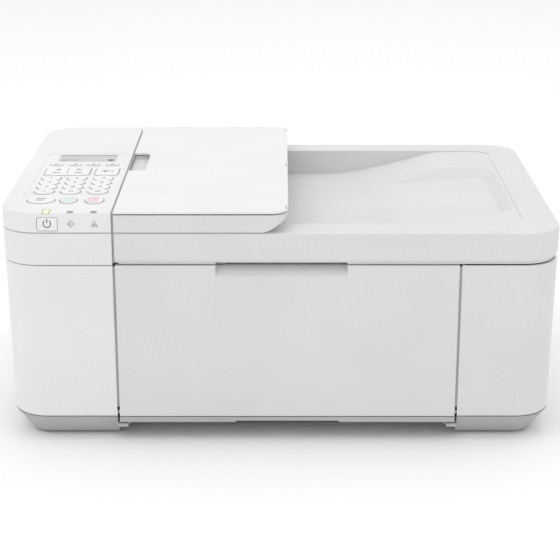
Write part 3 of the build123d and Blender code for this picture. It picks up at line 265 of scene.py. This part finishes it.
# %% Give every CAD node its finish
finishes = {
    shell_white: ["right_casing", "rear_cover", "front_door", "scanner_frame", "adf_housing"],
    casing_white_painted_light: ["left_casing", "left_band"],
    cover_white: ["lid_shell"],
    tray_white_painted_light: ["document_tray"],
    panel_white_painted_light: ["panel_housing"],
    base_grey: ["base_tray", "door_strip"],
    guide_grey: ["output_support", "output_tray", "paper_guide_left", "paper_guide_right",
                 "document_guide_front", "document_guide_rear", "feeder_cover", "hinge_posts"],
    engine_black: ["carriage", "ink_cartridges", "scan_bar", "print_platen", "maintenance_station",
                   "pick_arm", "power_supply", "power_inlet"],
    gear_ivory: ["feed_gear", "motor_pinion", "motor_pulley", "idler_pulley"],
    key_white: ["menu_rocker", "back_key", "redial_key", "number_keys_left", "number_keys_middle",
                "number_keys_right", "function_key_1", "function_key_2", "function_key_3",
                "function_key_4", "on_button", "start_key", "stop_key"],
    film_white: ["cover_underside"],
    roller_rubber: ["exit_roller", "adf_feed_roller", "adf_exit_roller", "pick_roller"],
    foot_rubber: ["rubber_feet"],
    belt_rubber: ["timing_belt"],
    chassis_zinc: ["chassis"],
    shaft_steel: ["guide_shaft", "feed_roller", "pinch_rollers"],
    motor_steel: ["drive_motors"],
    scan_glass: ["platen_glass"],
    display_cells: ["lcd_window"],
    board_green: ["main_board"],
}
for finish, names in finishes.items():
    for name in names:
        nodes[name].data.materials.clear()
        nodes[name].data.materials.append(finish)
unfinished = sorted(set(nodes) - {name for names in finishes.values() for name in names})
print("nodes with no finish:", unfinished)

# %% [markdown]
# ## Printing on the panel
# The outlines of the keys, the icons and the numbers are modelled as pad printing: a silicone pad lays down
# an ink film only a few hundredths of a millimetre thick. A filled circle is the start of each mark, its
# corners are moved on to the outline, an inset leaves the line, and an extrusion gives the film its
# thickness. The inks, the lamps and the seam strips need finishes of their own first.

# %% Inks, lamps and foam
ink_light = moulded_plastic("pad_printed_light_grey_ink", "#A2A2A2", "#9A9A9A", 0.5, 0.4 * mm, 0.05)
# grey ink for the printed icons and numbers, also used for the painted shadow along the display's upper edge
grey_ink_and_painted_shadow = moulded_plastic("pad_printed_grey_ink_and_painted_shadow", "#8C8C8C", "#848484", 0.5, 0.4 * mm, 0.05)
# dark ink for the power sign and the display's count, also used for the painted shade on the shelf under the
# door
dark_ink_and_painted_shade = moulded_plastic("pad_printed_dark_ink_and_painted_shade", "#5E5E5E", "#565656", 0.5, 0.4 * mm, 0.05)
ink_green = moulded_plastic("pad_printed_pale_green_ink", "#D9E6E1", "#D2E0DA", 0.5, 0.6 * mm, 0.08)
ink_red = moulded_plastic("pad_printed_pale_red_ink", "#EAD3D8", "#E4CBD1", 0.5, 0.6 * mm, 0.08)
# painted shade: the grey of the seam strips stands for the shade in the seams
seam_grey_painted_shade = moulded_plastic("grey_seam_strip_painted_shade", "#B4B4B4", "#A8A8A8", 0.8, 0.7 * mm, 0.3)
lamp_frame = moulded_plastic("tinted_lamp_frame", "#B9C48A", "#AEBA7C", 0.35, 0.8 * mm, 0.05)
lamp_off = moulded_plastic("unlit_lamp_lens", "#9C9C9C", "#8E8E8E", 0.25, 0.8 * mm, 0.05)


def glowing(name, bright, dim, strength):
    """A lit lamp behind a milky lens: brightest where the diode sits."""
    material, tree, where, output = new_material(name)
    spread = add_node(tree, "ShaderNodeTexNoise", {"Vector": where, "Scale": 1 / (3 * mm), "Detail": 1.0})
    tones = add_node(tree, "ShaderNodeValToRGB", {"Fac": spread.outputs["Fac"]})
    tones.color_ramp.elements[0].color = linear(dim)
    tones.color_ramp.elements[1].color = linear(bright)
    bump = add_node(tree, "ShaderNodeBump", {"Height": spread.outputs["Fac"], "Strength": 0.02})
    shader = add_node(tree, "ShaderNodeBsdfPrincipled", {
        "Base Color": tones.outputs["Color"], "Roughness": 0.3, "Emission Color": tones.outputs["Color"],
        "Emission Strength": strength, "Normal": bump.outputs["Normal"]})
    tree.links.new(shader.outputs["BSDF"], output.inputs["Surface"])
    return material


lamp_on = glowing("lit_yellow_green_lamp", "#FBFFD0", "#F1FAB4", 0.5)

# %% [markdown]
# ## One function for every flat mark
# `flat_mark` takes the points of an outline. `line` is the width of the printed line, and without it the
# mark is a full area. `rise` is the direction and thickness of the film.


# %% Flat marks from an outline
film = 0.02 * mm


def flat_mark(name, points, rise, line=None):
    """A thin closed solid on the given outline: a line along it, or its whole area."""
    bpy.ops.object.select_all(action="DESELECT")
    bpy.ops.mesh.primitive_circle_add(vertices=len(points), radius=mm, fill_type="NGON", location=(0, 0, 0))
    mark = bpy.context.object
    mark.name = name
    bpy.ops.object.mode_set(mode="EDIT")
    mesh = bmesh.from_edit_mesh(mark.data)
    mesh.verts.ensure_lookup_table()
    for vertex, point in zip(mesh.verts, points):
        vertex.co = point
    mesh.normal_update()
    bmesh.update_edit_mesh(mark.data)
    bpy.ops.mesh.select_all(action="SELECT")
    if line is not None:
        bpy.ops.mesh.inset(thickness=line)
        bpy.ops.mesh.delete(type="FACE")
        bpy.ops.mesh.select_all(action="SELECT")
    bpy.ops.mesh.extrude_region_move(TRANSFORM_OT_translate={"value": rise})
    bpy.ops.mesh.select_all(action="SELECT")
    bpy.ops.mesh.normals_make_consistent(inside=False)
    bpy.ops.object.mode_set(mode="OBJECT")
    return mark


def joined(name, parts, body, material):
    """Joins parts into one piece, which takes a finish and rides on a body."""
    bpy.ops.object.select_all(action="DESELECT")
    for part in parts:
        part.select_set(True)
    bpy.context.view_layer.objects.active = parts[0]
    if len(parts) > 1:
        bpy.ops.object.join()
    piece = parts[0]
    piece.name = name
    piece.data.materials.clear()
    piece.data.materials.append(material)
    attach(piece, body)
    return piece


# %% Outlines as lists of points
def rounded(low, high, radius, z, corner_steps=8):
    """Corners of a rounded rectangle in a level plane, counter-clockwise."""
    points = []
    middles = ((high[0] - radius, high[1] - radius), (low[0] + radius, high[1] - radius),
               (low[0] + radius, low[1] + radius), (high[0] - radius, low[1] + radius))
    for quarter, (x, y) in enumerate(middles):
        for step in range(corner_steps + 1):
            turn = math.radians(90 * (quarter + step / corner_steps))
            points.append((x + radius * math.cos(turn), y + radius * math.sin(turn), z))
    return points


def oval(x, y, half_x, half_y, z, steps=64):
    """Points of an oval in a level plane."""
    turns = [2 * math.pi * step / steps for step in range(steps)]
    return [(x + half_x * math.cos(turn), y + half_y * math.sin(turn), z) for turn in turns]


def upright(points, y):
    """Turns an outline of the level plane up on to a front face: its Y becomes Z."""
    return [(point[0], y, point[1]) for point in points]


def middle_of(low, high):
    """Middle of a box in the level plane."""
    return (low[0] + high[0]) / 2, (low[1] + high[1]) / 2


# %% [markdown]
# ## Key outlines
# Every key has a printed line round its opening, which makes the pale keys easy to find. The sizes come
# from the CAD keys themselves. The hidden flange under a cap is 0.9 mm wider than the cap on each side, and
# the opening is 0.35 mm wider, so a line that starts 0.45 mm from the cap lies on the panel.

# %% Print a line round each key
window_proud = 0.1 * mm
key_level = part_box("lcd_window")[1].z - window_proud
clear_of_cap = 0.45 * mm
flange = 0.9 * mm
line_width = 0.6 * mm
up = (0, 0, film)


def key_box(node):
    """Outline box of a key's cap: the node's box without its flange."""
    low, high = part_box(node)
    return (low.x + flange, low.y + flange), (high.x - flange, high.y - flange)


def grown(low, high, by):
    """A box grown by the same width on all sides."""
    return (low[0] - by, low[1] - by), (high[0] + by, high[1] + by)


function_keys = ["function_key_" + str(index) for index in (1, 2, 3, 4)]
lines = []
outer = clear_of_cap + line_width
for names, corner in ((("menu_rocker", "back_key"), 3.5 * mm), (function_keys, 2.6 * mm)):
    for node in names:
        low, high = grown(*key_box(node), outer)
        lines.append(flat_mark(node + "_line", rounded(low, high, corner, key_level), up, line_width))
for node in ("start_key", "stop_key", "redial_key"):
    low, high = grown(*key_box(node), outer)
    half = ((high[0] - low[0]) / 2, (high[1] - low[1]) / 2)
    lines.append(flat_mark(node + "_line", oval(*middle_of(low, high), *half, key_level), up, line_width))

key_rows = 4
number_half_y = 7.6 * mm


def column_outline(node, grow, z, samples=72):
    """Outline of four ovals in a column that run into each other, up one side and down the other."""
    low, high = grown(*key_box(node), grow)
    middle_x = (low[0] + high[0]) / 2
    half_x = (high[0] - low[0]) / 2
    half_y = number_half_y + grow
    pitch = (high[1] - low[1] - 2 * half_y) / (key_rows - 1)
    rows = [low[1] + half_y + row * pitch for row in range(key_rows)]
    right_side = []
    for sample in range(samples):
        y = low[1] + (high[1] - low[1]) * (1 - math.cos(math.pi * (sample + 0.5) / samples)) / 2
        reach = max(1 - ((y - row) / half_y) ** 2 for row in rows)
        right_side.append((half_x * math.sqrt(max(reach, 0)), y))
    return ([(middle_x + x, y, z) for x, y in right_side]
            + [(middle_x - x, y, z) for x, y in reversed(right_side)]), middle_x, rows


columns = {}
for side in ("left", "middle", "right"):
    node = "number_keys_" + side
    outline, middle_x, rows = column_outline(node, outer, key_level)
    columns[side] = (middle_x, rows)
    lines.append(flat_mark(node + "_line", outline, up, line_width))
joined("key_outlines", lines, "printer_body", ink_light)

# %% [markdown]
# ## Numbers and icons on the keys
# The numbers are set in type, turned into meshes, and laid on the caps. They belong to the strip of keys
# that they are printed on, so they go down with it. The icons on the other keys are plain arrows and bars.
# The start and stop keys carry a pale green and a pale red field.

# %% Numbers
cap_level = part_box("start_key")[1].z
# a digit is about this share of its type size
digit_share = 0.7


def number(text, x, y, tall):
    """One character as a thin mesh, centred on a point of the key's top."""
    bpy.ops.object.select_all(action="DESELECT")
    bpy.ops.object.text_add(location=(0, 0, 0))
    glyph = bpy.context.object
    glyph.data.body = text
    glyph.data.size = tall / digit_share
    glyph.data.extrude = film / 2
    glyph.data.resolution_u = 4
    bpy.ops.object.convert(target="MESH")
    glyph = bpy.context.object
    xs = [vertex.co.x for vertex in glyph.data.vertices]
    ys = [vertex.co.y for vertex in glyph.data.vertices]
    move = Vector((x - (min(xs) + max(xs)) / 2, y - (min(ys) + max(ys)) / 2, cap_level + film / 2))
    for vertex in glyph.data.vertices:
        vertex.co += move
    return glyph


keypad = {"left": "147*", "middle": "2580", "right": "369#"}
for side, characters in keypad.items():
    middle_x, rows = columns[side]
    glyphs = [number(text, middle_x, y, 5.4 * mm) for text, y in zip(characters, reversed(rows))]
    joined("numbers_" + side, glyphs, "number_keys_" + side, grey_ink_and_painted_shadow)

# %% Icons on the other keys


def bar(name, x, y, half_x, half_y, z=cap_level):
    """A small printed rectangle."""
    return flat_mark(name, rounded((x - half_x, y - half_y), (x + half_x, y + half_y), 0.2 * mm, z, 2), up)


def arrow(name, x, y, half, point):
    """A solid triangle that points left (-1) or right (1)."""
    corners = [(x + point * half, y, cap_level), (x - point * half, y + half * 1.3, cap_level),
               (x - point * half, y - half * 1.3, cap_level)]
    return flat_mark(name, corners if point > 0 else corners[::-1], up)


low, high = key_box("menu_rocker")
middle = middle_of(low, high)
quarter = (high[0] - low[0]) / 4
marks = [bar("divider", middle[0], middle[1], 0.3 * mm, 9 * mm)]
for turn in (-1, 1):
    x = middle[0] + turn * quarter
    marks.append(arrow("arrow", x, middle[1] + 5 * mm, 2.2 * mm, turn))
    marks.append(bar("dash", x, middle[1] - 5 * mm, 3.2 * mm, 1.1 * mm))
joined("menu_icons", marks, "menu_rocker", grey_ink_and_painted_shadow)

middle = middle_of(*key_box("back_key"))
joined("back_icon", [arrow("arrow", middle[0] - 3 * mm, middle[1], 2.4 * mm, -1),
                     bar("tail", middle[0] + 2.4 * mm, middle[1], 3.2 * mm, 0.8 * mm)],
       "back_key", grey_ink_and_painted_shadow)

for node, ink, aside in (("start_key", ink_green, -0.2 * mm), ("stop_key", ink_red, -1.0 * mm)):
    x, y = middle_of(*key_box(node))
    x += aside
    field = rounded((x - 4.6 * mm, y - 8.0 * mm), (x + 4.6 * mm, y + 8.0 * mm), 2.4 * mm, cap_level)
    joined(node + "_colour", [flat_mark("field", field, up)], node, ink)

middle = middle_of(*key_box("redial_key"))
joined("redial_icon", [bar("upper", middle[0], middle[1] + 3 * mm, 4.2 * mm, 1.0 * mm),
                       bar("lower", middle[0] - mm, middle[1] - 1.5 * mm, 3.2 * mm, 1.0 * mm)],
       "redial_key", grey_ink_and_painted_shadow)

for index, node in enumerate(function_keys, start=1):
    middle = middle_of(*key_box(node))
    joined("function_dash_" + str(index), [bar("dash", *middle, 1.7 * mm, 1.2 * mm)],
           node, grey_ink_and_painted_shadow)

# %% [markdown]
# ## Icons on the front edge
# The power sign is a ring, open at the top, with an upright bar. It is printed on the ON button, so it
# moves with the button. Beside it are a paper sign and a warning triangle on the fixed housing.

# %% Power sign
button_low, button_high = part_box("on_button")
button_face = button_low.y
sign = Vector(((button_low.x + button_high.x) / 2, 0, (button_low.z + button_high.z) / 2))
forward = (0, -film, 0)
gap = math.radians(38)
ring = []
steps = 40
for radius, order in ((3.3 * mm, 1), (2.5 * mm, -1)):
    turns = [math.pi / 2 + gap + (2 * math.pi - 2 * gap) * step / steps for step in range(steps + 1)]
    ring += [(sign.x + radius * math.cos(turn), sign.z + radius * math.sin(turn)) for turn in turns[::order]]
stem = rounded((sign.x - 0.4 * mm, sign.z + 0.4 * mm), (sign.x + 0.4 * mm, sign.z + 3.9 * mm),
               0.1 * mm, 0, 1)
joined("power_sign", [flat_mark("ring", upright([(x, z, 0) for x, z in ring], button_face), forward),
                      flat_mark("stem", upright(stem, button_face), forward)],
       "on_button", dark_ink_and_painted_shade)

# %% Paper sign and warning triangle
housing_low, housing_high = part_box("panel_housing")
front_face = housing_low.y
sign_z = sign.z - 0.2 * mm
paper_x = sign.x + 18.2 * mm
warning_x = sign.x + 36.2 * mm


def polygon(x, z, radius, sides, turn):
    """Corners of a regular polygon on the front face."""
    turns = [math.radians(turn) + 2 * math.pi * side / sides for side in range(sides)]
    return [(x + radius * math.cos(a), front_face, z + radius * math.sin(a)) for a in turns]


icons = [flat_mark("diamond", polygon(paper_x, sign_z, 2.9 * mm, 4, 90), forward, 0.5 * mm),
         flat_mark("pointer", polygon(paper_x - 0.6 * mm, sign_z, 1.2 * mm, 3, 0), forward),
         flat_mark("triangle", polygon(warning_x, sign_z - 0.5 * mm, 3.2 * mm, 3, 90), forward, 0.5 * mm),
         flat_mark("dot", polygon(warning_x, sign_z - 0.7 * mm, 0.8 * mm, 8, 0), forward)]
joined("front_icons", icons, "printer_body", grey_ink_and_painted_shadow)

# %% [markdown]
# ## Lamps and display
# Three lamps sit at the front edge of the panel's top and follow its rounding. The left one is lit and has a
# tinted frame, the others are off. The display shows a few marks, and a grey band along its upper edge is
# painted shadow from the recess wall.

# %% Lamps
panel_top = housing_high.z
edge_radius = 1.8 * mm
edge_y = housing_low.y + edge_radius
edge_z = panel_top - edge_radius


def edge_lamp(name, low_x, high_x, back_y, turn_down, proud):
    """A lens that lies on the panel's top and follows its rounded front edge down by some degrees."""
    arc = [math.radians(turn_down * step / 10) for step in range(11)]
    outer_radius = edge_radius + proud
    inner_radius = edge_radius - 0.2 * mm
    points = [(low_x, back_y, edge_z + outer_radius)]
    points += [(low_x, edge_y - outer_radius * math.sin(turn), edge_z + outer_radius * math.cos(turn))
               for turn in arc]
    points += [(low_x, edge_y - inner_radius * math.sin(turn), edge_z + inner_radius * math.cos(turn))
               for turn in reversed(arc)]
    points += [(low_x, back_y, edge_z + inner_radius)]
    return flat_mark(name, points, (high_x - low_x, 0, 0))


lamp_back = housing_low.y + 9.6 * mm
joined("lamp_frame", [edge_lamp("frame", sign.x - 3.6 * mm, sign.x + 2.4 * mm, lamp_back, 72, 0.06 * mm)],
       "printer_body", lamp_frame)
lens = edge_lamp("lens", sign.x - 2.4 * mm, sign.x + 1.2 * mm, lamp_back - 2.2 * mm, 50, 0.12 * mm)
joined("lit_lamp", [lens], "printer_body", lamp_on)
lamps_off = [edge_lamp("lens", x - 2.9 * mm, x + 1.9 * mm, housing_low.y + 4.8 * mm, 50, 0.08 * mm)
             for x in (paper_x, warning_x)]
joined("unlit_lamps", lamps_off, "printer_body", lamp_off)

# %% Marks on the display
glass_low, glass_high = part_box("lcd_window")
faint = [bar("word", glass_low.x + 6.0 * mm, glass_low.y + 4.6 * mm, 3.4 * mm, 1.3 * mm, glass_high.z),
         bar("word", glass_low.x + 13.7 * mm, glass_low.y + 4.6 * mm, 2.2 * mm, 1.3 * mm, glass_high.z)]
joined("display_words", faint, "printer_body", grey_ink_and_painted_shadow)
dark = [bar("count", glass_low.x + 44.8 * mm, glass_low.y + 4.4 * mm, 2.2 * mm, 2.6 * mm, glass_high.z)]
joined("display_count", dark, "printer_body", dark_ink_and_painted_shade)
# painted shadow: a grey band along the display's upper edge, where the recess wall shades the glass
shade_low = (glass_low.x + 0.1 * mm, glass_high.y - 2.6 * mm)
shade_high = (glass_high.x - 0.1 * mm, glass_high.y - 0.1 * mm)
joined("display_edge_painted_shadow", [flat_mark("edge", rounded(shade_low, shade_high, 0.3 * mm, glass_high.z, 2), up)],
       "printer_body", grey_ink_and_painted_shadow)

# %% [markdown]
# ## Strips in the seams
# The seams beside the door and beside the cover read as grey lines. A grey strip on the fixed casing fills
# each seam as painted shade; it is a little narrower than the gap, so that door and cover pass it freely. A
# cube is stretched to the strip's place and all its edges are rounded with a bevel. The shelf under the door
# gets a darker strip of the same kind, painted shade for the shade under the door.


# %% A strip from its corners
def strip(name, low, high, round_off):
    """A strip between two corners, with soft edges."""
    bpy.ops.object.select_all(action="DESELECT")
    size = Vector(high) - Vector(low)
    centre = (Vector(high) + Vector(low)) / 2
    bpy.ops.mesh.primitive_cube_add(size=1, location=centre, scale=size)
    piece = bpy.context.object
    piece.name = name
    bpy.ops.object.transform_apply(location=True, rotation=True, scale=True)
    bpy.ops.object.mode_set(mode="EDIT")
    bpy.ops.mesh.select_all(action="SELECT")
    bpy.ops.mesh.bevel(offset=round_off, segments=3, profile=0.6)
    bpy.ops.mesh.select_all(action="SELECT")
    bpy.ops.mesh.normals_make_consistent(inside=False)
    bpy.ops.object.mode_set(mode="OBJECT")
    return piece


door_low, door_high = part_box("front_door")
left_low, left_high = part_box("left_casing")
right_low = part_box("right_casing")[0]
cover_low, cover_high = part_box("lid_shell")
print("left seam", round(left_high.x, 4), "cover starts", round(cover_low.x, 4))
seam_width = cover_low.x - left_high.x
spare = 0.15 * mm
sunk = 1.1 * mm
strip_thick = 1.4 * mm
above_pin = 8 * mm
soft_edge = 0.2 * mm
# painted shade: grey strips in the seams beside the door and the cover
seams = [strip("door_seam_left", (left_high.x, door_low.y + sunk, left_low.z + above_pin),
               (left_high.x + seam_width - spare, door_low.y + sunk + strip_thick, door_high.z - mm),
               soft_edge),
         strip("door_seam_right", (right_low.x - seam_width + spare, door_low.y + sunk,
                                   right_low.z + above_pin),
               (right_low.x, door_low.y + sunk + strip_thick, door_high.z - mm), soft_edge),
         strip("cover_seam", (left_high.x, housing_low.y + sunk + 0.3 * mm, cover_low.z + mm),
               (left_high.x + seam_width - spare, cover_high.y - 12 * mm, panel_top - sunk), soft_edge)]
joined("seam_painted_shade_strips", seams, "printer_body", seam_grey_painted_shade)

# %% Painted shade: a dark strip on the shelf under the door
strip_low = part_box("door_strip")[0]
# painted shade: a dark strip on the shelf's front, standing for the shade under the door
shelf_shade = strip("shelf_painted_shade_strip", (left_high.x + 10 * mm, door_low.y + 4.6 * mm, strip_low.z - 3.2 * mm),
             (right_low.x - 10 * mm, door_low.y + 5.5 * mm, strip_low.z - 1.4 * mm), soft_edge)
joined("shelf_painted_shade_strip", [shelf_shade], "printer_body", dark_ink_and_painted_shade)

# %% [markdown]
# ## Floor, light and camera
# The machine stands on a plain pale floor under two large soft lights, as in a studio. The camera looks
# down at it by about 18 degrees from 1.4 metres away, with a long lens, so the sides stay nearly upright.

# %% Floor
floor_size = 12.0
bpy.ops.object.select_all(action="DESELECT")
bpy.ops.mesh.primitive_plane_add(size=floor_size, location=(0, 0, 0))
floor = bpy.context.object
floor.name = "floor"
material, tree, where, output = new_material("white_studio_floor")
shade = add_node(tree, "ShaderNodeTexNoise", {"Vector": where, "Scale": 0.7, "Detail": 1.0})
tones = add_node(tree, "ShaderNodeValToRGB", {"Fac": shade.outputs["Fac"]})
tones.color_ramp.elements[0].color = linear("#FAFAFA")
tones.color_ramp.elements[1].color = linear("#FFFFFF")
surface = add_node(tree, "ShaderNodeBsdfPrincipled", {"Base Color": tones.outputs["Color"], "Roughness": 0.9})
tree.links.new(surface.outputs["BSDF"], output.inputs["Surface"])
floor.data.materials.append(material)
floor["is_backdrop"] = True

# %% Light
world = bpy.data.worlds.new("studio")
bpy.context.scene.world = world
world.use_nodes = True
world.node_tree.nodes["Background"].inputs["Color"].default_value = (1, 1, 1, 1)
world.node_tree.nodes["Background"].inputs["Strength"].default_value = 0.87


def soft_light(name, place, aim, size, power):
    """A square soft box that looks at a point."""
    data = bpy.data.lights.new(name, "AREA")
    data.shape = "SQUARE"
    data.size = size
    data.energy = power
    lamp = bpy.data.objects.new(name, data)
    lamp.location = place
    lamp.rotation_euler = (Vector(aim) - Vector(place)).to_track_quat("-Z", "Y").to_euler()
    bpy.context.scene.collection.objects.link(lamp)
    return lamp


soft_light("key_light", (-1.3, -0.9, 2.2), (0, 0, 0.1), 1.6, 6.0)
soft_light("top_light", (0.2, 0.5, 2.6), (0, 0, 0.1), 2.2, 13.0)

# %% Camera
tilt_down = 18.37
picture_width = 560
camera_data = bpy.data.cameras.new("camera")
camera_data.sensor_width = 36.0
camera_data.lens = 99.91
camera_data.shift_x = -1.48 / picture_width
camera_data.shift_y = 1.87 / picture_width
camera = bpy.data.objects.new("camera", camera_data)
camera.location = (0, -1.2883, 0.5117)
camera.rotation_euler = (math.radians(90 - tilt_down), 0, 0)
bpy.context.scene.collection.objects.link(camera)
bpy.context.scene.camera = camera
bpy.context.scene.view_settings.view_transform = "Standard"

# %% [markdown]
# ## Size, and the end
# The size of everything that renders, the floor left out, is printed. The looks may not make the
# machine larger than its CAD model.

# %% Print the size
low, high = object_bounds()
print("visual box", [round(v, 4) for v in (high - low)])
